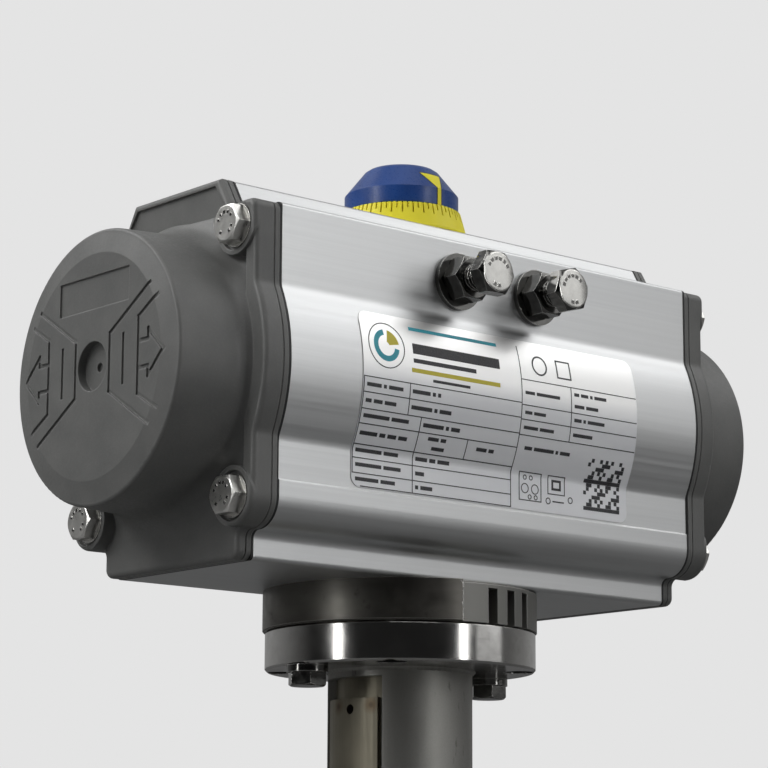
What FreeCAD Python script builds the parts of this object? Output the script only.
"""Quarter-turn rack-and-pinion pneumatic actuator on a stainless valve pedestal.

Millimetres.  The pinion's axis is Z and the cylinder lies along X.  The rating plate is on the
front, at -Y, and the air ports are on the rear, at +Y.  Shapes are drawn with z = 0 at the underside
of the aluminium body; save() lifts them so that the origin is at the pedestal's bottom face, on the
pinion's axis.  The pistons are drawn at the closed end of their stroke.
"""
import FreeCAD, Part
import math
import os

os.makedirs("parts", exist_ok=True)

# ---- Driving dimensions ----------------------------------------------------------------------

# Heights from the body's underside.
BASE_DROP = 105.0            # down to the pedestal's bottom mounting face
BORE_HEIGHT = 53.3           # up to the axis of the cylinder bore
SHOULDER_HEIGHT = 97.0       # up to the top of the side walls
TOP_HEIGHT = 107.2           # up to the raised accessory platform
STOP_HEIGHT = 84.5           # up to the axes of the two stop screws

# Aluminium body, a constant section along X.
BODY_HALF_LENGTH = 79.0
BORE_RADIUS = 42.5
SIDE_HALF = 41.8             # half width over the flat side walls
BULGE_RADIUS = 46.5          # round swelling of the front wall about the bore
FOOT_HALF = 30.9
PLATFORM_HALF_TOP = 20.1
PLATFORM_HALF_FOOT = 25.8
RIDGE_HEIGHT = 20.8          # fine ridge along the lower wall
PORT_PAD = 50.5              # distance of the rear port face from the pinion's axis
PORT_PAD_BOTTOM = 36.0
PORT_PAD_TOP = 70.6
PORT_SPACING = 24.0
PORT_RADIUS = 4.4            # tapping size of G1/8
PORT_DEPTH = 7.0
AIR_CHANNEL_RADIUS = 1.6
AIR_CHANNEL = (46.5, 60.4)   # y and z of the long air channel to the cap chambers

# End caps, outwards from the gasket.
GASKET_THICK = 0.8
CAP_PLATE = 4.7
CAP_WALL = 8.0
CAP_PAD = 8.9
CAP_SEAT = 7.3
CAP_LENGTH = 31.6
CAP_EDGE = 1.5               # rounding of the outer edges
CHAMBER_DEPTH = 24.0
DOME_RADIUS = 39.4
DOME_RIM_RADIUS = 38.5
DOME_FACE_RADIUS = 31.6      # flat end of the dome
DOME_CROWN = 1.2             # how far the flat end stands out from the rim
CAP_BOLT_Y = 33.6
CAP_BOLT_RISE = 37.1         # bolt centres above and below the bore axis
CAP_BOLT_DEPTH = 20.0
BOSS_RADIUS = 8.2

# Pinion and racks.
MODULE = 2.0
TEETH = 16
PRESSURE_ANGLE = math.radians(20.0)
PITCH_RADIUS = MODULE * TEETH / 2.0
GEAR_HALF_HEIGHT = 15.0
RACK_HALF_HEIGHT = 14.0
TOOTH_THINNING = 0.12        # backlash taken off each tooth
JOURNAL_RADIUS = 18.2        # lower journal, just wider than the teeth
SHAFT_RADIUS = 12.5          # upper shaft and journal
SOCKET_SIZE = 17.0           # across the flats of the double square socket
PISTON_INNER = 34.0          # piston crown's inner face from the pinion axis, closed
PISTON_THICK = 14.0
RACK_ADDENDUM = 1.8
RACK_DEDENDUM = 2.4
RACK_TIP_X = -33.0           # free end of the right piston's rack, closed
RACK_BACK_RADIUS = 38.5
PAD_FLOOR_RADIUS = 36.5      # guide pad in the rack's back: inner radius, ends and half height
PAD_X = (-28.0, 2.0)
PAD_HALF_HEIGHT = 9.0
SEAL_X = (37.2, 40.6)        # piston seal groove
SEAL_FLOOR = 39.4
BAND_X = (42.6, 46.6)        # piston guide band groove
BAND_FLOOR = 40.7

# What is on the shaft, from the body's underside.
LOWER_SEAL = (2.4, 5.0)
LOWER_SEAL_FLOOR = 16.0
LOWER_BUSH_RADIUS = 20.0
LOWER_BUSH_BOTTOM = 5.4
LOWER_BUSH_TOP = 10.4
UPPER_BUSH_RADIUS = 14.5
UPPER_BUSH_BOTTOM = 96.2
UPPER_BUSH_TOP = 103.2
UPPER_SEAL = (103.9, 106.3)
UPPER_SEAL_FLOOR = 10.6
THRUST_WASHER_TOP = 108.15
CIRCLIP_BOTTOM = 108.9
CIRCLIP_TOP = 110.1
SHAFT_SHOULDER = 111.5
SHAFT_TOP = 121.0
SHAFT_TIP_RADIUS = 9.0
SHAFT_TIP_FLATS = 7.0        # half width over the flats that turn the indicator cap
CAM_BOTTOM = 80.3
CAM_TOP = 88.3
CAM_FLATS = 11.5             # half width over the shaft flats that drive the cam
OPEN_FACE = 11.6             # cam face that meets the left screw when the pinion is open
CLOSED_FACE = 14.0           # cam face that meets the right screw when it is closed

# Stop screws on the front wall.
STOP_SPACING = 15.3
STOP_CLEARANCE = 0.05
STOP_WASHER = 1.6
STOP_WASHER_RADIUS = 8.3
LEFT_STOP_REACH = 59.5       # outer face of each screw's head from the pinion's axis
RIGHT_STOP_REACH = 58.5
RIGHT_STOP_TURN = -15.0      # the right screw's head stands a little round from level

# Position indicator.
RING_FOOT_RADIUS = 19.9
RING_TOP_RADIUS = 18.0
RING_TOP = 114.9
CAP_BOTTOM = 115.2
BAND_TOP = 120.3             # top of the cap's upright band, where its cone starts
INDICATOR_TOP = 128.7
INDICATOR_PROFILE = [(17.3, CAP_BOTTOM), (17.3, BAND_TOP), (11.4, 127.7), (10.2, 128.5), (9.0, INDICATOR_TOP)]
SCREW_HEAD_SEAT = 125.0

# Rating plate.
PLATE_X = (-54.0, 53.0)
PLATE_Z = (21.5, 70.5)
PLATE_THICK = 0.25

# Pedestal.
RING_THICK = 12.0
RING_RADIUS = 40.6
RING_BORE = 19.5
FLANGE_BOTTOM = -23.4
FLANGE_RADIUS = 39.8
VALVE_BOLT_CIRCLE = 70.0     # ISO 5211 F07
SMALL_BOLT_CIRCLE = 50.0     # ISO 5211 F05
SQUARE_ANGLES = (45, 135, 225, 315)
SIDE_ANGLES = (0, 180)
FLANGE_HOLE = 4.5
SCREW_SEAT = -5.4            # height of the socket-head screws' seats
SPIGOT_RADIUS = 27.5
SPIGOT_HEIGHT = 2.0
TUBE_RADIUS = 21.2
TUBE_BORE = 18.6
TUBE_TOP = -16.0
TUBE_SOCKET = 6.0            # how far the tube goes into the lower flange
BASE_FLANGE_THICK = 10.0
BASE_TOP = -BASE_DROP + BASE_FLANGE_THICK
WINDOW_HALF_ANGLE = 35.0
WINDOW = (-88.0, -25.9)      # bottom and top of the tube's window
COVER = (-87.0, -32.0)       # bottom and top of the lid's raised face
COVER_HALF_ANGLE = 31.1
COUPLING_BUSH_RADIUS = 17.0
COUPLING_RADIUS = 14.0
STEM_BORE = 9.0
STEM_DEPTH = 28.0

# Fasteners: across flats, head height, thread radius.
M5_TAP = 2.1
M8_TAP = 3.4
M6 = {"flats": 10.0, "head": 4.0, "radius": 3.0}
M8 = {"flats": 12.0, "head": 4.6, "radius": 4.0}
RUNNING_GAP = 0.05           # radial clearance where one piece slides or turns in another

X_AXIS = FreeCAD.Vector(1, 0, 0)
Y_AXIS = FreeCAD.Vector(0, 1, 0)
Z_AXIS = FreeCAD.Vector(0, 0, 1)
ORIGIN = FreeCAD.Vector(0, 0, 0)
BORE_AXIS = FreeCAD.Vector(0, 0, BORE_HEIGHT)


# ---- General shapes --------------------------------------------------------------------------

def point(x, y, z):
    return FreeCAD.Vector(x, y, z)


def rod_x(radius, near, far, y=0.0, z=BORE_HEIGHT):
    return Part.makeCylinder(radius, far - near, point(near, y, z), X_AXIS)


def rod_y(radius, near, far, x=0.0, z=0.0):
    return Part.makeCylinder(radius, far - near, point(x, near, z), Y_AXIS)


def rod_z(radius, bottom, top, x=0.0, y=0.0):
    return Part.makeCylinder(radius, top - bottom, point(x, y, bottom), Z_AXIS)


def ring_z(outer, inner, bottom, top, x=0.0, y=0.0):
    return rod_z(outer, bottom, top, x, y).cut(rod_z(inner, bottom - 1, top + 1, x, y))


def block(x_low, x_high, y_low, y_high, z_low, z_high):
    return Part.makeBox(x_high - x_low, y_high - y_low, z_high - z_low, point(x_low, y_low, z_low))


def join(shapes):
    whole = shapes[0]
    for shape in shapes[1:]:
        whole = whole.fuse(shape)
    return whole.removeSplitter()


def cut_all(shape, tools):
    for tool in tools:
        shape = shape.cut(tool)
    return shape


def prism(corners, direction):
    """Extrude the closed polygon through the corners."""
    return Part.Face(Part.makePolygon(corners + corners[:1])).extrude(direction)


def turned_z(corners):
    """Revolve a polygon of (radius, height) corners about the pinion axis."""
    loop = [point(radius, 0, height) for radius, height in corners]
    return Part.Face(Part.makePolygon(loop + loop[:1])).revolve(ORIGIN, Z_AXIS, 360)


def hexagon(flats, seat, direction, height):
    """Hexagonal prism standing on seat, one pair of corners level."""
    corner = flats / math.sqrt(3)
    side = Z_AXIS.cross(direction) if abs(direction.z) < 0.5 else X_AXIS
    up = direction.cross(side)
    corners = []
    for index in range(6):
        angle = math.radians(60 * index)
        corners.append(seat + side * (corner * math.cos(angle)) + up * (corner * math.sin(angle)))
    return prism(corners, direction * height)


def chamfered_hexagon(flats, seat, direction, height, both_ends=False):
    """Hexagon with its corners turned off at 30 degrees, as on a bolt head or nut."""
    face = 0.475 * flats
    spread = height * math.tan(math.radians(60))
    shape = hexagon(flats, seat, direction, height)
    shape = shape.common(Part.makeCone(face + spread, face, height, seat, direction))
    if both_ends:
        shape = shape.common(Part.makeCone(face, face + spread, height, seat, direction))
    return shape


def hex_bolt(size, seat, direction, length):
    """Hex bolt with the underside of its head at seat, its head towards direction."""
    head = chamfered_hexagon(size["flats"], seat, direction, size["head"])
    tip = 0.8
    shank = Part.makeCylinder(size["radius"], length - tip, seat, direction * -1)
    end_at = seat - direction * (length - tip)
    end = Part.makeCone(size["radius"], size["radius"] - tip, tip, end_at, direction * -1)
    return join([head, shank, end])


def washer(size, seat, direction, outer, thick):
    disc = Part.makeCylinder(outer, thick, seat, direction)
    return disc.cut(Part.makeCylinder(size["radius"] + 0.2, thick + 2, seat - direction, direction))


def on_circle(diameter, angles, height=0.0):
    radius = diameter / 2.0
    places = []
    for angle in angles:
        turn = math.radians(angle)
        places.append(point(radius * math.cos(turn), radius * math.sin(turn), height))
    return places


def mirror_x(shape):
    return shape.mirror(ORIGIN, X_AXIS)


def save(name, shapes):
    """Write one sub-part, lifted onto the pedestal's bottom face."""
    if not isinstance(shapes, list):
        shapes = [shapes]
    solids = []
    for shape in shapes:
        moved = shape.copy()
        moved.translate(point(0, 0, BASE_DROP))
        solids.extend(moved.Solids)
    for solid in solids:
        if not solid.isValid():
            print("INVALID", name)
    result = solids[0] if len(solids) == 1 else Part.makeCompound(solids)
    result.exportStep("parts/" + name + ".step")
    print(name, len(solids), round(result.Volume / 1000.0, 2), "cm3")


# ---- Section of the body and caps ------------------------------------------------------------

def blend_to_wall(circle, radius, wall, fillet, above):
    """Concave fillet between a round boss and an upright wall: wall, middle and boss points."""
    reach = radius + fillet
    centre_y = wall + fillet
    rise = math.sqrt(reach ** 2 - (centre_y - circle[0]) ** 2)
    centre_z = circle[1] + (rise if above else -rise)
    share = radius / reach
    boss = (circle[0] + (centre_y - circle[0]) * share, circle[1] + (centre_z - circle[1]) * share)
    lean_y = wall + boss[0] - 2 * centre_y
    lean_z = boss[1] - centre_z
    size = math.hypot(lean_y, lean_z)
    middle = (centre_y + lean_y / size * fillet, centre_z + lean_z / size * fillet)
    return (wall, centre_z), middle, boss


def trace(side, start, moves):
    """Edges of a section in the YZ plane; a move is (middle of an arc or None, end)."""
    edges = []
    here = start
    for middle, end in moves:
        first = point(0, side * here[0], here[1])
        last = point(0, side * end[0], end[1])
        if middle is None:
            edges.append(Part.makeLine(first, last))
        else:
            edges.append(Part.Arc(first, point(0, side * middle[0], middle[1]), last).toShape())
        here = end
    return edges


def half_section(side, grow=0.0, port_pad=False, cast=False):
    """One half of the section, from the middle of the foot up to the middle of the top.

    The extruded body has a fine ridge low on its wall and small edges; the cast caps are plainer.
    """
    foot = FOOT_HALF + grow
    wall = SIDE_HALF + grow
    band = wall if cast else wall - 0.4
    edge = 2.6 if cast else 1.3
    diagonal = math.sqrt(0.5)
    bolt = (CAP_BOLT_Y, BORE_HEIGHT - CAP_BOLT_RISE)
    boss = BOSS_RADIUS + grow
    neck, neck_middle, neck_boss = blend_to_wall(bolt, boss, foot, 2.4, False)
    bore = (0.0, BORE_HEIGHT)
    bulge = BULGE_RADIUS + grow
    low, low_middle, low_bulge = blend_to_wall(bore, bulge, band, 4.0, False)
    high, high_middle, high_bulge = blend_to_wall(bore, bulge, wall, 4.0, True)
    boss_middle = (bolt[0] + boss * diagonal, bolt[1] - boss * diagonal)
    foot_middle = (foot - edge * (1 - diagonal), edge * (1 - diagonal) - grow)
    corner = 2.4 if cast else 1.0
    top_corner = (wall - corner * (1 - diagonal), SHOULDER_HEIGHT + grow - corner * (1 - diagonal))
    moves = [
        (None, (foot - edge, -grow)),
        (foot_middle, (foot, edge - grow)),
        (None, neck),
        (neck_middle, neck_boss),
        (boss_middle, (wall, bolt[1])),
    ]
    if not cast:
        moves += [(None, (wall, RIDGE_HEIGHT - 0.3)), (None, (band, RIDGE_HEIGHT + 0.1))]
    if port_pad:
        moves += [
            (None, (band, PORT_PAD_BOTTOM - 2.0)),
            (None, (PORT_PAD - 1.0, PORT_PAD_BOTTOM)),
            (None, (PORT_PAD, PORT_PAD_BOTTOM + 1.0)),
            (None, (PORT_PAD, PORT_PAD_TOP - 1.0)),
            (None, (PORT_PAD - 1.0, PORT_PAD_TOP)),
            (None, (wall, PORT_PAD_TOP + 2.0)),
        ]
    else:
        moves += [
            (None, low),
            (low_middle, low_bulge),
            ((bulge, BORE_HEIGHT), high_bulge),
            (high_middle, high),
        ]
    moves += [
        (None, (wall, SHOULDER_HEIGHT + grow - corner)),
        (top_corner, (wall - corner, SHOULDER_HEIGHT + grow)),
        (None, (PLATFORM_HALF_FOOT + grow, SHOULDER_HEIGHT + 0.4 + grow)),
    ]
    if cast:
        moves.append((None, (PLATFORM_HALF_TOP + grow, TOP_HEIGHT + grow)))
    else:
        moves.append((None, (PLATFORM_HALF_TOP + 0.4 + grow, TOP_HEIGHT - 0.5 + grow)))
        moves.append((None, (PLATFORM_HALF_TOP - 0.3 + grow, TOP_HEIGHT + grow)))
    moves.append((None, (0.0, TOP_HEIGHT + grow)))
    return trace(side, (0.0, -grow), moves)


def section_bar(near, far, grow=0.0, cast=False):
    """The body's section as a solid bar from x = near to x = far."""
    edges = half_section(-1, grow, False, cast) + half_section(1, grow, True, cast)
    face = Part.Face(Part.Wire(Part.__sortEdges__(edges)))
    bar = face.extrude(point(far - near, 0, 0))
    bar.translate(point(near, 0, 0))
    return bar


def cap_bolt_places():
    places = []
    for side in (-1, 1):
        for rise in (-CAP_BOLT_RISE, CAP_BOLT_RISE):
            places.append((side * CAP_BOLT_Y, BORE_HEIGHT + rise))
    return places


# ---- Body ------------------------------------------------------------------------------------

def body_housing():
    ends = BODY_HALF_LENGTH
    body = section_bar(-ends, ends)
    tools = [rod_x(BORE_RADIUS, -ends - 1, ends + 1)]
    # Pinion holes: a plain hole at the seal, a wider one for the bush, which goes in from the bore.
    tools.append(rod_z(JOURNAL_RADIUS + RUNNING_GAP, -1, BORE_HEIGHT))
    tools.append(rod_z(LOWER_BUSH_RADIUS, LOWER_BUSH_BOTTOM, BORE_HEIGHT))
    tools.append(rod_z(SHAFT_RADIUS + RUNNING_GAP, BORE_HEIGHT, TOP_HEIGHT + 1))
    tools.append(rod_z(UPPER_BUSH_RADIUS, BORE_HEIGHT, UPPER_BUSH_TOP))
    # Valve interface under the body: spigot recess and two bolt circles.
    tools.append(rod_z(SPIGOT_RADIUS, -1, SPIGOT_HEIGHT))
    for place in on_circle(VALVE_BOLT_CIRCLE, SQUARE_ANGLES):
        tools.append(rod_z(M8_TAP, -1, 13.0, place.x, place.y))
    for place in on_circle(SMALL_BOLT_CIRCLE, SQUARE_ANGLES):
        tools.append(rod_z(M6["radius"], -1, 10.5, place.x, place.y))
    # Accessory holes in the top platform.
    for x in (-40.0, 40.0):
        for y in (-15.0, 15.0):
            tools.append(rod_z(M5_TAP, TOP_HEIGHT - 9.0, TOP_HEIGHT + 1, x, y))
    # Cap bolt holes in both ends.
    for y, z in cap_bolt_places():
        for near in (-ends - 1, ends - CAP_BOLT_DEPTH):
            tools.append(rod_x(M6["radius"], near, near + CAP_BOLT_DEPTH + 1, y, z))
    # Stop screw holes through the front wall.
    for x in (-STOP_SPACING, STOP_SPACING):
        tools.append(rod_y(M8["radius"] + RUNNING_GAP, -SIDE_HALF - 1, -20.0, x, STOP_HEIGHT))
    # Solenoid valve interface on the rear: two ports, four screw holes and the air ways.
    port = PORT_SPACING / 2.0
    for x in (-port, port):
        tools.append(rod_y(PORT_RADIUS, PORT_PAD - PORT_DEPTH, PORT_PAD + 1, x, BORE_HEIGHT))
    for x in (-16.0, 16.0):
        for z in (BORE_HEIGHT - 12.0, BORE_HEIGHT + 12.0):
            tools.append(rod_y(M5_TAP, PORT_PAD - 6.0, PORT_PAD + 1, x, z))
    tools.append(rod_y(2.5, BORE_RADIUS - 4.0, PORT_PAD - 1.0, -port, BORE_HEIGHT))
    tools.append(rod_x(AIR_CHANNEL_RADIUS, -ends - 1, ends + 1, *AIR_CHANNEL))
    tools.append(rod_z(1.2, BORE_HEIGHT, AIR_CHANNEL[1], port, AIR_CHANNEL[0]))
    return cut_all(body, tools)


# ---- End caps --------------------------------------------------------------------------------

def cap_section_cut(near, far):
    """Groove round the cap's side wall that leaves a thin rib beside the gasket."""
    outer = section_bar(near, far, 1.0, cast=True)
    return outer.cut(section_bar(near - 1, far + 1, -0.2, cast=True))


def polyline(corners):
    """The straight strokes from each corner to the next."""
    return list(zip(corners[:-1], corners[1:]))


def dome_relief(face):
    """Shallow sunk marks on the dome's flat end: a plain panel, and arrows, bars and brackets."""
    depth = 0.55
    width = 1.1
    bracket = (8.1, 26.0, 8.0, 19.0)     # inner and outer y, inner and outer height
    fork = (21.4, 29.5, 10.5, 15.2)
    bar = 14.5
    bar_half = 6.6
    tail, head, tip = 21.4, 26.0, 32.6
    stem_half, head_half = 3.7, 6.4
    strokes = []
    for side in (-1, 1):
        strokes.append(((bar * side, -bar_half), (bar * side, bar_half)))
        inner, outer, low, high = bracket
        strokes += polyline([(outer * side, high), (inner * side, low),
                             (inner * side, -low), (outer * side, -high)])
        arrow = [(tail, stem_half), (head, stem_half), (head, head_half), (tip, 0.0)]
        arrow += [(y, -z) for y, z in reversed(arrow[:-1])]
        arrow.append(arrow[0])
        strokes += polyline([(y * side, z) for y, z in arrow])
        inner, outer, low, high = fork
        for rise in (-1, 1):
            strokes += polyline([(inner * side, stem_half * rise), (inner * side, low * rise),
                                 (outer * side, high * rise)])
    tools = []
    for (y1, z1), (y2, z2) in strokes:
        run = math.hypot(y2 - y1, z2 - z1)
        stroke = block(face - depth, face + 1, -width / 2, run + width / 2, -width / 2, width / 2)
        stroke.rotate(ORIGIN, X_AXIS, math.degrees(math.atan2(z2 - z1, y2 - y1)))
        stroke.translate(point(0, y1, BORE_HEIGHT + z1))
        tools.append(stroke)
    panel_bottom = BORE_HEIGHT + 16.0
    panel_top = BORE_HEIGHT + 25.4
    tools.append(block(face - depth, face + 1, -16.5, 16.5, panel_bottom, panel_top))
    # Round recess at the centre with a small pip hole.
    recess_floor = face - 2.6
    tools.append(rod_x(6.9, recess_floor, face + 1))
    tools.append(rod_x(1.3, recess_floor - 1.0, face + 1))
    return tools


def dome():
    """Round chamber of the cap: a wide concave root, a drafted side and a rounded rim."""
    start = BODY_HALF_LENGTH + GASKET_THICK
    root = 8.5
    rim = 1.1
    rim_run = 1.0
    end = start + CAP_LENGTH
    rim_x = end - DOME_CROWN
    root_x = start + CAP_PLATE + root
    root_radius = DOME_RADIUS + root
    lean = math.sqrt(0.5)

    def at(x, radius):
        return point(x, 0, BORE_HEIGHT + radius)

    edges = [
        Part.makeLine(at(start, 0), at(start, root_radius)),
        Part.makeLine(at(start, root_radius), at(start + CAP_PLATE, root_radius)),
        Part.Arc(at(start + CAP_PLATE, root_radius),
                 at(root_x - root * lean, root_radius - root * lean),
                 at(root_x, DOME_RADIUS)).toShape(),
        Part.makeLine(at(root_x, DOME_RADIUS), at(rim_x - rim_run, DOME_RIM_RADIUS)),
        Part.Arc(at(rim_x - rim_run, DOME_RIM_RADIUS),
                 at(rim_x - rim_run * (1 - lean), DOME_RIM_RADIUS - rim * (1 - lean)),
                 at(rim_x, DOME_RIM_RADIUS - rim)).toShape(),
        Part.makeLine(at(rim_x, DOME_RIM_RADIUS - rim), at(end, DOME_FACE_RADIUS)),
        Part.makeLine(at(end, DOME_FACE_RADIUS), at(end, 0)),
        Part.makeLine(at(end, 0), at(start, 0)),
    ]
    return Part.Face(Part.Wire(edges)).revolve(BORE_AXIS, X_AXIS, 360)


def edges_in_plane(shape, x):
    """Edges lying in the plane at x, for rounding a face's border."""
    chosen = []
    for edge in shape.Edges:
        box = edge.BoundBox
        if abs(box.XMin - x) < 0.01 and abs(box.XMax - x) < 0.01:
            chosen.append(edge)
    return chosen


def rounded_bar(start, depth):
    """The caps' section with its outer face's edges rounded."""
    bar = section_bar(start, start + depth, cast=True)
    return bar.makeFillet(CAP_EDGE, edges_in_plane(bar, start + depth))


def end_cap():
    """The right-hand cap; the left one is its mirror image."""
    start = BODY_HALF_LENGTH + GASKET_THICK
    plate, walls, pads = [rounded_bar(start, depth) for depth in (CAP_PLATE, CAP_WALL, CAP_PAD)]
    keep_walls = []
    keep_pads = []
    for side in (-1, 1):
        inner, outer = sorted((side * 37.5, side * 60.0))
        keep_walls.append(block(start, start + 20, inner, outer, 12.0, 92.0))
    for y, z in cap_bolt_places():
        pad = rod_x(BOSS_RADIUS, start, start + 20, y, z)
        outwards = 60.0 if y > 0 else -60.0
        upwards = SHOULDER_HEIGHT if z > BORE_HEIGHT else z - BOSS_RADIUS
        y_low, y_high = sorted((y, outwards))
        z_low, z_high = sorted((z, upwards))
        pad = pad.fuse(block(start, start + 20, y_low, y_high, z_low, z_high))
        keep_pads.append(pad)
    walls = walls.common(join(keep_walls))
    pads = [pads.common(pad) for pad in keep_pads]
    chamber_dome = dome().common(section_bar(start, start + 60, cast=True))
    cap = join([plate, walls, chamber_dome] + pads)
    tools = [cap_section_cut(start + 1.6, start + 2.0)]
    # Chamber behind the dome, with a passage from the body's air channel.
    chamber = rod_x(35.4, start - 1, start + CHAMBER_DEPTH)
    chamber = chamber.makeFillet(3.0, edges_in_plane(chamber, start + CHAMBER_DEPTH))
    tools.append(chamber)
    channel_y, channel_z = AIR_CHANNEL
    half = AIR_CHANNEL_RADIUS
    tools.append(block(start - 1, start + 2.4, 30.0, channel_y + half, channel_z - half, channel_z + half))
    # Bolt holes and spot-faced seats.
    for y, z in cap_bolt_places():
        tools.append(rod_x(M6["radius"] + 0.3, start - 1, start + 20, y, z))
        tools.append(rod_x(6.9, start + CAP_SEAT, start + 30, y, z))
    # Plain sunk panel on the end of the top platform.
    tools.append(top_panel(start + CAP_PLATE))
    tools += dome_relief(start + CAP_LENGTH)
    return cut_all(cap, tools)


def top_panel(face):
    """Shallow trapezoid sunk into the end of the top platform."""
    depth = 0.8
    inset = 2.0
    low = SHOULDER_HEIGHT - 1.0
    high = TOP_HEIGHT - inset
    corners = [
        point(face - depth, -PLATFORM_HALF_FOOT + 0.5, low),
        point(face - depth, PLATFORM_HALF_FOOT - 0.5, low),
        point(face - depth, PLATFORM_HALF_TOP - inset + 0.4, high),
        point(face - depth, -PLATFORM_HALF_TOP + inset - 0.4, high),
    ]
    return prism(corners, X_AXIS * 2)


def cap_gasket():
    start = BODY_HALF_LENGTH
    sheet = section_bar(start, start + GASKET_THICK)
    tools = [rod_x(BORE_RADIUS, start - 1, start + 2)]
    tools.append(rod_x(AIR_CHANNEL_RADIUS + 0.4, start - 1, start + 2, *AIR_CHANNEL))
    for y, z in cap_bolt_places():
        tools.append(rod_x(M6["radius"] + 0.3, start - 1, start + 2, y, z))
    return cut_all(sheet, tools)


def cap_fasteners():
    """Bolts and washers of both caps."""
    seat = BODY_HALF_LENGTH + GASKET_THICK + CAP_SEAT
    thick = 1.2
    bolts = []
    washers = []
    for y, z in cap_bolt_places():
        ring = washer(M6, point(seat, y, z), X_AXIS, 6.0, thick)
        bolt = hex_bolt(M6, point(seat + thick, y, z), X_AXIS, 25.0)
        washers += [ring, mirror_x(ring)]
        bolts += [bolt, mirror_x(bolt)]
    return bolts, washers


# ---- Racks and pistons -----------------------------------------------------------------------

def rack_cutters():
    """Gaps between the rack's teeth; one gap is centred on the pinion's axis."""
    pitch = math.pi * MODULE
    half_tooth = pitch / 4.0 - TOOTH_THINNING / 2.0
    slope = math.tan(PRESSURE_ANGLE)
    tip_half_gap = pitch / 2.0 - (half_tooth - RACK_ADDENDUM * slope)
    root_half_gap = pitch / 2.0 - (half_tooth + RACK_DEDENDUM * slope)
    tip = -(PITCH_RADIUS - RACK_ADDENDUM)
    root = -(PITCH_RADIUS + RACK_DEDENDUM)
    extra = 0.2
    low = BORE_HEIGHT - RACK_HALF_HEIGHT - 1
    cutters = []
    for index in range(-5, 6):
        x = index * pitch
        corners = [
            point(x - tip_half_gap - extra * slope, tip + extra, low),
            point(x - root_half_gap, root, low),
            point(x + root_half_gap, root, low),
            point(x + tip_half_gap + extra * slope, tip + extra, low),
        ]
        cutters.append(prism(corners, Z_AXIS * (2 * RACK_HALF_HEIGHT + 2)))
    return cutters


def guide_pad():
    """Curved plastic pad let into the back of the rack, sliding on the bore."""
    near, far = PAD_X
    low = BORE_HEIGHT - PAD_HALF_HEIGHT
    high = BORE_HEIGHT + PAD_HALF_HEIGHT
    pad = rod_x(BORE_RADIUS - RUNNING_GAP, near, far).cut(rod_x(PAD_FLOOR_RADIUS, near - 1, far + 1))
    return pad.common(block(near, far, -60.0, 0.0, low, high))


def piston():
    """The right-hand piston; its rack is on the front side of the pinion."""
    inner = PISTON_INNER
    outer = PISTON_INNER + PISTON_THICK
    crown = rod_x(BORE_RADIUS - 0.3, inner, outer)
    z_low = BORE_HEIGHT - RACK_HALF_HEIGHT
    z_high = BORE_HEIGHT + RACK_HALF_HEIGHT
    bar = block(RACK_TIP_X, inner + 2.0, -60.0, -(PITCH_RADIUS - RACK_ADDENDUM), z_low, z_high)
    bar = bar.common(rod_x(RACK_BACK_RADIUS, RACK_TIP_X, inner + 2.0))
    bar = cut_all(bar, rack_cutters() + [guide_pad()])
    whole = join([crown, bar])
    tools = [rod_x(30.0, outer - 6.0, outer + 1)]
    tools.append(rod_x(60.0, *SEAL_X).cut(rod_x(SEAL_FLOOR, SEAL_X[0] - 1, SEAL_X[1] + 1)))
    tools.append(rod_x(60.0, *BAND_X).cut(rod_x(BAND_FLOOR, BAND_X[0] - 1, BAND_X[1] + 1)))
    return cut_all(whole, tools)


def piston_seal():
    reach = BORE_RADIUS - RUNNING_GAP
    middle = point((SEAL_X[0] + SEAL_X[1]) / 2.0, 0, BORE_HEIGHT)
    return Part.makeTorus((SEAL_FLOOR + reach) / 2.0, (reach - SEAL_FLOOR) / 2.0, middle, X_AXIS)


def guide_band():
    return rod_x(BORE_RADIUS - RUNNING_GAP, *BAND_X).cut(rod_x(BAND_FLOOR, BAND_X[0] - 1, BAND_X[1] + 1))


def half_turn(shape):
    """The same piece on the other side of the pinion."""
    turned = shape.copy()
    turned.rotate(ORIGIN, Z_AXIS, 180)
    return turned


# ---- Pinion and what turns with it -----------------------------------------------------------

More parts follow.
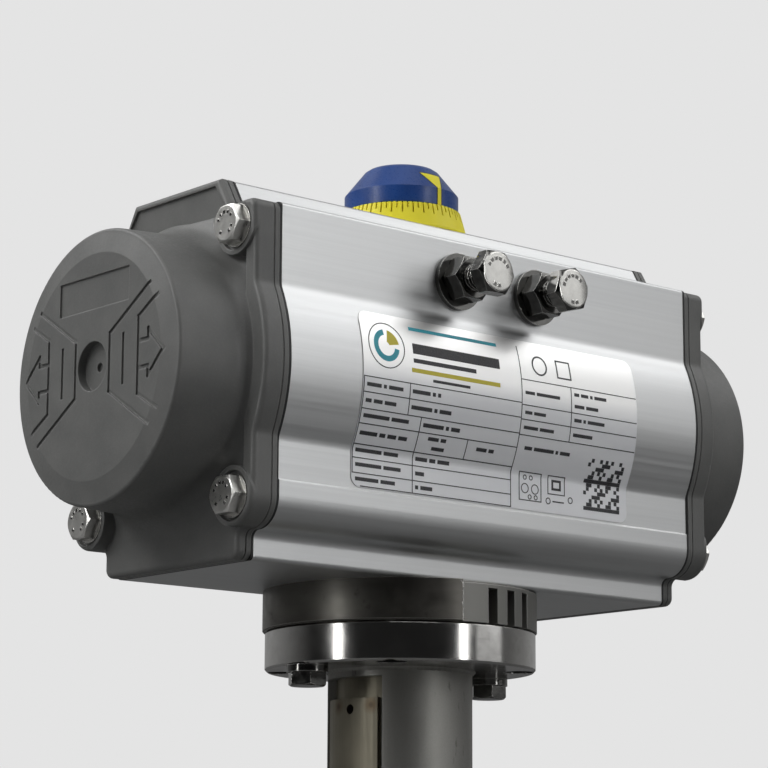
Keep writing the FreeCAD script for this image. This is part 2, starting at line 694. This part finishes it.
def gear_blank():
    """Sixteen involute teeth; one tooth points at each rack."""
    base = PITCH_RADIUS * math.cos(PRESSURE_ANGLE)
    tip = PITCH_RADIUS + MODULE
    root = PITCH_RADIUS - RACK_ADDENDUM - 0.45
    involute = math.tan(PRESSURE_ANGLE) - PRESSURE_ANGLE
    half_tooth = (math.pi * MODULE / 4.0 - TOOTH_THINNING / 2.0) / PITCH_RADIUS
    low = BORE_HEIGHT - GEAR_HALF_HEIGHT

    def at(radius, angle):
        return point(radius * math.cos(angle), radius * math.sin(angle), low)

    def flank_angle(radius):
        pressure = math.acos(base / radius)
        return half_tooth + involute - (math.tan(pressure) - pressure)

    steps = 6
    radii = [base + (tip - base) * (index / steps) ** 1.5 for index in range(steps + 1)]
    edges = []
    for tooth in range(TEETH):
        middle = 2 * math.pi * tooth / TEETH + math.pi / 2
        rising = [at(radius, middle - flank_angle(radius)) for radius in radii]
        falling = [at(radius, middle + flank_angle(radius)) for radius in reversed(radii)]
        root_angle = flank_angle(base)
        next_middle = middle + 2 * math.pi / TEETH
        edges.append(Part.makeLine(at(root, middle - root_angle), rising[0]))
        for flank in (rising, falling):
            curve = Part.BSplineCurve()
            curve.interpolate(flank)
            edges.append(curve.toShape())
            if flank is rising:
                edges.append(Part.Arc(rising[-1], at(tip, middle), falling[0]).toShape())
        edges.append(Part.makeLine(falling[-1], at(root, middle + root_angle)))
        gap = (middle + next_middle) / 2.0
        start = at(root, middle + root_angle)
        edges.append(Part.Arc(start, at(root, gap), at(root, next_middle - root_angle)).toShape())
    face = Part.Face(Part.Wire(Part.__sortEdges__(edges)))
    return face.extrude(Z_AXIS * (2 * GEAR_HALF_HEIGHT))


def double_square(size, bottom, top):
    """Two squares an eighth of a turn apart."""
    half = size / 2.0
    first = block(-half, half, -half, half, bottom, top)
    second = first.copy()
    second.rotate(ORIGIN, Z_AXIS, 45)
    return first.fuse(second)


def shaft_tip(clearance, bottom, top):
    """Flatted end of the shaft, which the indicator cap fits over."""
    half = SHAFT_TIP_FLATS + clearance
    stub = rod_z(SHAFT_TIP_RADIUS + clearance, bottom, top)
    return stub.common(block(-20, 20, -half, half, bottom - 1, top + 1))


def pinion():
    gear_low = BORE_HEIGHT - GEAR_HALF_HEIGHT
    gear_high = BORE_HEIGHT + GEAR_HALF_HEIGHT
    lower = turned_z([(0, 0.6), (JOURNAL_RADIUS - 0.6, 0.6), (JOURNAL_RADIUS, 1.2),
                      (JOURNAL_RADIUS, gear_low - 2.0), (JOURNAL_RADIUS - 2.0, gear_low), (0, gear_low)])
    upper = rod_z(SHAFT_RADIUS, gear_high, SHAFT_SHOULDER)
    flats = ring_z(20.0, 0.01, CAM_BOTTOM, UPPER_BUSH_BOTTOM - 5.0)
    flats = flats.cut(block(-CAM_FLATS, CAM_FLATS, -30, 30, CAM_BOTTOM - 1, UPPER_BUSH_BOTTOM))
    upper = upper.cut(flats)
    tip = shaft_tip(0.0, SHAFT_SHOULDER, SHAFT_TOP)
    shaft = join([lower, gear_blank(), upper, tip])
    tools = [double_square(SOCKET_SIZE, 0.0, 19.6)]
    tools.append(rod_z(2.5, SHAFT_TOP - 12.0, SHAFT_TOP + 1))
    tools.append(ring_z(30.0, LOWER_SEAL_FLOOR, *LOWER_SEAL))
    tools.append(ring_z(20.0, UPPER_SEAL_FLOOR, *UPPER_SEAL))
    tools.append(ring_z(20.0, SHAFT_RADIUS - 0.9, CIRCLIP_BOTTOM, CIRCLIP_TOP))
    return cut_all(shaft, tools)


def shaft_seal(groove, floor, wall):
    reach = wall + RUNNING_GAP / 2.0
    middle = (groove[0] + groove[1]) / 2.0
    return Part.makeTorus((floor + reach) / 2.0, (reach - floor) / 2.0, point(0, 0, middle), Z_AXIS)


def stop_cam():
    """Lobed stop that limits the quarter turn between the two screws."""
    hub = rod_z(14.5, CAM_BOTTOM, CAM_TOP)
    corners = [(-OPEN_FACE, 30.0), (-OPEN_FACE, 7.0), (7.0, -CLOSED_FACE),
               (30.0, -CLOSED_FACE), (30.0, 30.0)]
    lobe = prism([point(x, y, CAM_BOTTOM) for x, y in corners], Z_AXIS * (CAM_TOP - CAM_BOTTOM))
    lobe = lobe.common(rod_z(21.5, CAM_BOTTOM, CAM_TOP))
    seat = rod_z(SHAFT_RADIUS, CAM_BOTTOM - 1, CAM_TOP + 1)
    seat = seat.common(block(-CAM_FLATS, CAM_FLATS, -30, 30, CAM_BOTTOM - 1, CAM_TOP + 1))
    return join([hub, lobe]).cut(seat)


def circlip():
    clip = ring_z(15.0, SHAFT_RADIUS - 0.9, CIRCLIP_BOTTOM, CIRCLIP_TOP)
    return clip.cut(block(-2.5, 2.5, 0.0, 20.0, CIRCLIP_BOTTOM - 1, CIRCLIP_TOP + 1))


def stop_screw(x, face, cam_face, turn):
    """Stop screw whose head's outer face is at y = -face and whose tip meets the cam."""
    seat = point(x, -face + M8["head"], STOP_HEIGHT)
    screw = hex_bolt(M8, seat, Y_AXIS * -1, face - M8["head"] - cam_face - STOP_CLEARANCE)
    screw.rotate(seat, Y_AXIS, turn)
    return screw


def stop_hardware():
    """Seal washers and lock nuts on the front wall."""
    nuts = []
    washers = []
    for x in (-STOP_SPACING, STOP_SPACING):
        wall = point(x, -SIDE_HALF, STOP_HEIGHT)
        top = point(x, -SIDE_HALF - STOP_WASHER, STOP_HEIGHT)
        washers.append(washer(M8, wall, Y_AXIS * -1, STOP_WASHER_RADIUS, STOP_WASHER))
        nut = chamfered_hexagon(M8["flats"], top, Y_AXIS * -1, 6.2, both_ends=True)
        hole = Part.makeCylinder(M8["radius"] + RUNNING_GAP, 10, top + Y_AXIS, Y_AXIS * -1)
        nuts.append(nut.cut(hole))
    return nuts, washers


# ---- Position indicator ----------------------------------------------------------------------

def indicator_ring():
    """Fixed scale ring round the shaft, with a graduation every five degrees."""
    inner = 15.4
    foot_inner = 17.1
    foot_top = CIRCLIP_TOP + 0.5
    ring = turned_z([(foot_inner, TOP_HEIGHT), (RING_FOOT_RADIUS, TOP_HEIGHT),
                     (RING_FOOT_RADIUS, TOP_HEIGHT + 0.7), (RING_TOP_RADIUS, RING_TOP),
                     (inner, RING_TOP), (inner, foot_top), (foot_inner, foot_top)])
    tools = []
    marks = 72
    for index in range(marks):
        deep = 3.4 if index % 2 == 0 else 2.0
        mark = block(RING_TOP_RADIUS - 0.7, RING_FOOT_RADIUS + 1, -0.22, 0.22, RING_TOP - deep, RING_TOP + 1)
        mark.rotate(ORIGIN, Z_AXIS, 360.0 / marks * index)
        tools.append(mark)
    return ring.cut(Part.makeCompound(tools))


def indicator_shape(inset):
    corners = [(radius - inset, height) for radius, height in INDICATOR_PROFILE]
    return turned_z([(0, CAP_BOTTOM)] + corners + [(0, INDICATOR_TOP)])


def pointer_inlays():
    """Two yellow pointers let into the cap, front and rear: a line that widens up the cone."""
    line_half = 0.7
    head_half = 3.8
    head_top = 125.4
    outline = [(-line_half, CAP_BOTTOM), (line_half, CAP_BOTTOM), (line_half, BAND_TOP + 0.1),
               (head_half, head_top), (-head_half, head_top), (-line_half, BAND_TOP + 0.1)]
    front = prism([point(x, -25.0, z) for x, z in outline], Y_AXIS * 25.0)
    front = front.common(indicator_shape(-0.1)).cut(indicator_shape(0.9))
    front = front.common(block(-30, 30, -30, -3, CAP_BOTTOM, head_top))
    return [front, half_turn(front)]


def indicator_cap():
    shell = indicator_shape(0.0)
    roof = 126.0
    hollow = turned_z([(0, CAP_BOTTOM - 1), (15.0, CAP_BOTTOM - 1), (15.0, 119.5), (10.0, roof), (0, roof)])
    socket = shaft_tip(RUNNING_GAP, SHAFT_SHOULDER - 1, SHAFT_TOP + 0.1)
    hub = rod_z(11.5, SHAFT_SHOULDER, roof + 1).cut(socket)
    whole = join([shell.cut(hollow), hub])
    tools = pointer_inlays()
    tools.append(rod_z(3.2, SHAFT_SHOULDER, INDICATOR_TOP + 1))
    tools.append(rod_z(6.2, SCREW_HEAD_SEAT, INDICATOR_TOP + 1))
    return cut_all(whole, tools)


def indicator_screw():
    """Pan head screw in the top of the cap, with a slot."""
    seat = SCREW_HEAD_SEAT
    head = turned_z([(0, seat), (5.6, seat), (5.6, seat + 2.0), (4.2, seat + 3.2), (0, seat + 3.2)])
    head = head.cut(block(-6, 6, -0.6, 0.6, seat + 1.8, seat + 4))
    return join([head, rod_z(2.5, SHAFT_TOP - 8.0, seat + 0.2)])


# ---- Rating plate ----------------------------------------------------------------------------

def rating_plate():
    """Blank plate of thin foil wrapped over the front of the bulge."""
    near, far = PLATE_X
    bar = section_bar(near, far, PLATE_THICK)
    bar = bar.cut(section_bar(near - 1, far + 1))
    window = block(near, far, -60.0, -30.0, *PLATE_Z)
    corners = [edge for edge in window.Edges if abs(edge.BoundBox.YLength - 30.0) < 0.01]
    return bar.common(window.makeFillet(3.0, corners))


# ---- Pedestal --------------------------------------------------------------------------------

def adapter_ring():
    """Steel ring screwed under the body; part of its rim is cut back and has three open slots."""
    edge = 0.4
    cut_back = 0.35
    top_step = 0.9
    slot_depth = 4.1
    slot_half = 1.8
    spigot = SPIGOT_RADIUS - RUNNING_GAP
    ring = turned_z([(RING_BORE, -RING_THICK), (RING_RADIUS - edge, -RING_THICK),
                     (RING_RADIUS, -RING_THICK + edge), (RING_RADIUS, 0.0), (spigot, 0.0),
                     (spigot, SPIGOT_HEIGHT - 0.2), (RING_BORE, SPIGOT_HEIGHT - 0.2)])
    tools = []
    for place in on_circle(SMALL_BOLT_CIRCLE, SQUARE_ANGLES):
        tools.append(rod_z(M6["radius"] + 0.3, -RING_THICK - 1, 3, place.x, place.y))
        tools.append(rod_z(5.3, -RING_THICK - 1, SCREW_SEAT, place.x, place.y))
    for place in on_circle(VALVE_BOLT_CIRCLE, SIDE_ANGLES):
        tools.append(rod_z(M6["radius"], -RING_THICK - 1, -1.5, place.x, place.y))
    below = -RING_THICK - 1
    sector = ring_z(RING_RADIUS + 1, RING_RADIUS - cut_back, below, 1)
    sector = sector.fuse(ring_z(RING_RADIUS + 1, RING_RADIUS - 3.0, -top_step, 1))
    wedge = [point(0, 0, below)]
    for place in on_circle(4 * RING_RADIUS, (-105, -90, -60, -30, -12), below):
        wedge.append(place)
    tools.append(sector.common(prism(wedge, Z_AXIS * (RING_THICK + 2))))
    for angle in (-90.0, -79.0, -68.0):
        slot = block(RING_RADIUS - slot_depth, RING_RADIUS + 1, -slot_half, slot_half, below, -2.0)
        slot.rotate(ORIGIN, Z_AXIS, angle)
        tools.append(slot)
    return cut_all(ring, tools)


def adapter_screws():
    """Socket-head screws from the ring up into the body's smaller bolt circle."""
    screws = []
    for place in on_circle(SMALL_BOLT_CIRCLE, SQUARE_ANGLES):
        head = rod_z(5.0, SCREW_SEAT - 6.0, SCREW_SEAT, place.x, place.y)
        shank = rod_z(M6["radius"], SCREW_SEAT, 9.5, place.x, place.y)
        screw = head.fuse(shank).removeSplitter()
        socket = hexagon(5.0, point(place.x, place.y, SCREW_SEAT - 7.0), Z_AXIS, 4.0)
        screws.append(screw.cut(socket))
    return screws


def pedestal_flange():
    edge = 0.6
    flange = turned_z([(TUBE_BORE, FLANGE_BOTTOM), (FLANGE_RADIUS - edge, FLANGE_BOTTOM),
                       (FLANGE_RADIUS, FLANGE_BOTTOM + edge), (FLANGE_RADIUS, -RING_THICK - edge),
                       (FLANGE_RADIUS - edge, -RING_THICK), (TUBE_BORE, -RING_THICK)])
    tools = [rod_z(TUBE_RADIUS, FLANGE_BOTTOM - 1, TUBE_TOP)]
    for place in on_circle(VALVE_BOLT_CIRCLE, SQUARE_ANGLES):
        tools.append(rod_z(FLANGE_HOLE, FLANGE_BOTTOM - 1, 0, place.x, place.y))
    for place in on_circle(VALVE_BOLT_CIRCLE, SIDE_ANGLES):
        tools.append(rod_z(M6["radius"] + 0.3, FLANGE_BOTTOM - 1, 0, place.x, place.y))
    return cut_all(flange, tools)


def flange_fasteners():
    thick = 2.0
    bolts = []
    washers = []
    for place in on_circle(VALVE_BOLT_CIRCLE, SIDE_ANGLES, FLANGE_BOTTOM):
        washers.append(washer(M6, place, Z_AXIS * -1, 6.0, thick))
        bolts.append(hex_bolt(M6, place - Z_AXIS * thick, Z_AXIS * -1, 21.0))
    return bolts, washers


def wedge_sector(outer, inner, half_angle, bottom, top):
    """Curved plate on the tube's left side, centred on the -X direction."""
    ring = ring_z(outer, inner, bottom, top)
    reach = 60.0
    spread = reach * math.tan(math.radians(half_angle))
    wedge = prism([point(0, 0, bottom), point(-reach, spread, bottom), point(-reach, -spread, bottom)],
                  Z_AXIS * (top - bottom))
    return ring.common(wedge)


def pedestal_tube():
    tube = ring_z(TUBE_RADIUS, TUBE_BORE, BASE_TOP - TUBE_SOCKET, TUBE_TOP)
    return tube.cut(wedge_sector(TUBE_RADIUS + 2, TUBE_BORE - 2, WINDOW_HALF_ANGLE, *WINDOW))


def window_cover():
    """Pressed lid in the tube's window: its rim lies behind the wall and shows above the raised face."""
    lips = wedge_sector(TUBE_BORE, TUBE_BORE - 1.0, WINDOW_HALF_ANGLE + 8, WINDOW[0] - 4.0, WINDOW[1] + 1.5)
    face = wedge_sector(TUBE_RADIUS - 0.5, TUBE_BORE - 0.5, COVER_HALF_ANGLE, *COVER)
    lid = join([lips, face])
    hole = Part.makeCylinder(1.4, 12, point(-TUBE_RADIUS - 2, -1.8, -35.2), X_AXIS)
    return lid.cut(hole)


def tube_welds():
    """Fillet welds where the tube enters the two flanges."""
    leg = 1.0
    throat = 0.62 * leg
    welds = []
    for face, away in ((FLANGE_BOTTOM, -1), (BASE_TOP, 1)):
        welds.append(turned_z([(TUBE_RADIUS, face), (TUBE_RADIUS + leg, face),
                               (TUBE_RADIUS + throat, face + away * throat),
                               (TUBE_RADIUS, face + away * leg)]))
    return welds


def base_flange():
    bottom = -BASE_DROP
    edge = 0.8
    flange = turned_z([(COUPLING_BUSH_RADIUS, bottom), (FLANGE_RADIUS - edge, bottom),
                       (FLANGE_RADIUS, bottom + edge), (FLANGE_RADIUS, BASE_TOP - edge),
                       (FLANGE_RADIUS - edge, BASE_TOP), (COUPLING_BUSH_RADIUS, BASE_TOP)])
    tools = [rod_z(TUBE_RADIUS, BASE_TOP - TUBE_SOCKET, BASE_TOP + 1)]
    for place in on_circle(VALVE_BOLT_CIRCLE, SQUARE_ANGLES):
        tools.append(rod_z(FLANGE_HOLE, bottom - 1, BASE_TOP + 1, place.x, place.y))
    return cut_all(flange, tools)


def drive_coupling():
    """Shaft inside the pedestal: a square up into the pinion, a keyed bore for the valve stem."""
    bottom = -BASE_DROP + 0.5
    half = SOCKET_SIZE / 2.0 - 0.1
    shoulder = -2.0
    neck = 11.5
    square = block(-half, half, -half, half, shoulder, 18.6)
    stem = turned_z([(0, bottom), (COUPLING_RADIUS, bottom), (COUPLING_RADIUS, -72.0), (neck, -69.5),
                     (neck, shoulder - 1.0), (neck - 1.0, shoulder), (0, shoulder)])
    bore = rod_z(STEM_BORE, bottom - 1, bottom + STEM_DEPTH)
    key = block(0, STEM_BORE + 2.6, -3.0, 3.0, bottom - 1, bottom + STEM_DEPTH)
    return cut_all(join([stem, square]), [bore, key])


# ---- Write every piece -----------------------------------------------------------------------

right_cap = end_cap()
save("body_housing", body_housing())
save("end_cap_right", right_cap)
save("end_cap_left", mirror_x(right_cap))
save("cap_gasket_right", cap_gasket())
save("cap_gasket_left", mirror_x(cap_gasket()))
cap_bolts, cap_washers = cap_fasteners()
save("cap_bolts", cap_bolts)
save("cap_bolt_washers", cap_washers)

for side, place in (("right", lambda shape: shape), ("left", half_turn)):
    save("piston_" + side, place(piston()))
    save("piston_seal_" + side, place(piston_seal()))
    save("piston_guide_band_" + side, place(guide_band()))
    save("rack_guide_pad_" + side, place(guide_pad()))

save("pinion", pinion())
save("stop_cam", stop_cam())
journal = JOURNAL_RADIUS + RUNNING_GAP
save("lower_pinion_bush", ring_z(LOWER_BUSH_RADIUS, journal, LOWER_BUSH_BOTTOM, LOWER_BUSH_TOP))
save("lower_shaft_seal", shaft_seal(LOWER_SEAL, LOWER_SEAL_FLOOR, JOURNAL_RADIUS))
shaft = SHAFT_RADIUS + RUNNING_GAP
save("upper_pinion_bush", ring_z(UPPER_BUSH_RADIUS, shaft, UPPER_BUSH_BOTTOM, UPPER_BUSH_TOP))
save("upper_shaft_seal", shaft_seal(UPPER_SEAL, UPPER_SEAL_FLOOR, SHAFT_RADIUS))
save("thrust_washer", ring_z(16.8, shaft, TOP_HEIGHT, THRUST_WASHER_TOP))
save("shaft_washer", ring_z(16.4, shaft, THRUST_WASHER_TOP + RUNNING_GAP, CIRCLIP_BOTTOM))
save("shaft_circlip", circlip())

save("stop_screw_left", stop_screw(-STOP_SPACING, LEFT_STOP_REACH, OPEN_FACE, 0.0))
save("stop_screw_right", stop_screw(STOP_SPACING, RIGHT_STOP_REACH, CLOSED_FACE, RIGHT_STOP_TURN))
lock_nuts, seal_washers = stop_hardware()
save("stop_lock_nuts", lock_nuts)
save("stop_seal_washers", seal_washers)

save("indicator_ring", indicator_ring())
save("indicator_cap", indicator_cap())
save("indicator_pointers", pointer_inlays())
save("indicator_screw", indicator_screw())
save("rating_plate", rating_plate())

save("adapter_ring", adapter_ring())
save("adapter_screws", adapter_screws())
save("pedestal_flange", pedestal_flange())
flange_bolts, flange_washers = flange_fasteners()
save("flange_bolts", flange_bolts)
save("flange_bolt_washers", flange_washers)
save("pedestal_tube", pedestal_tube())
save("tube_welds", tube_welds())
save("window_cover", window_cover())
save("base_flange", base_flange())
coupling = COUPLING_RADIUS + RUNNING_GAP
save("coupling_bush", ring_z(COUPLING_BUSH_RADIUS, coupling, -BASE_DROP + 0.4, BASE_TOP - TUBE_SOCKET))
save("drive_coupling", drive_coupling())
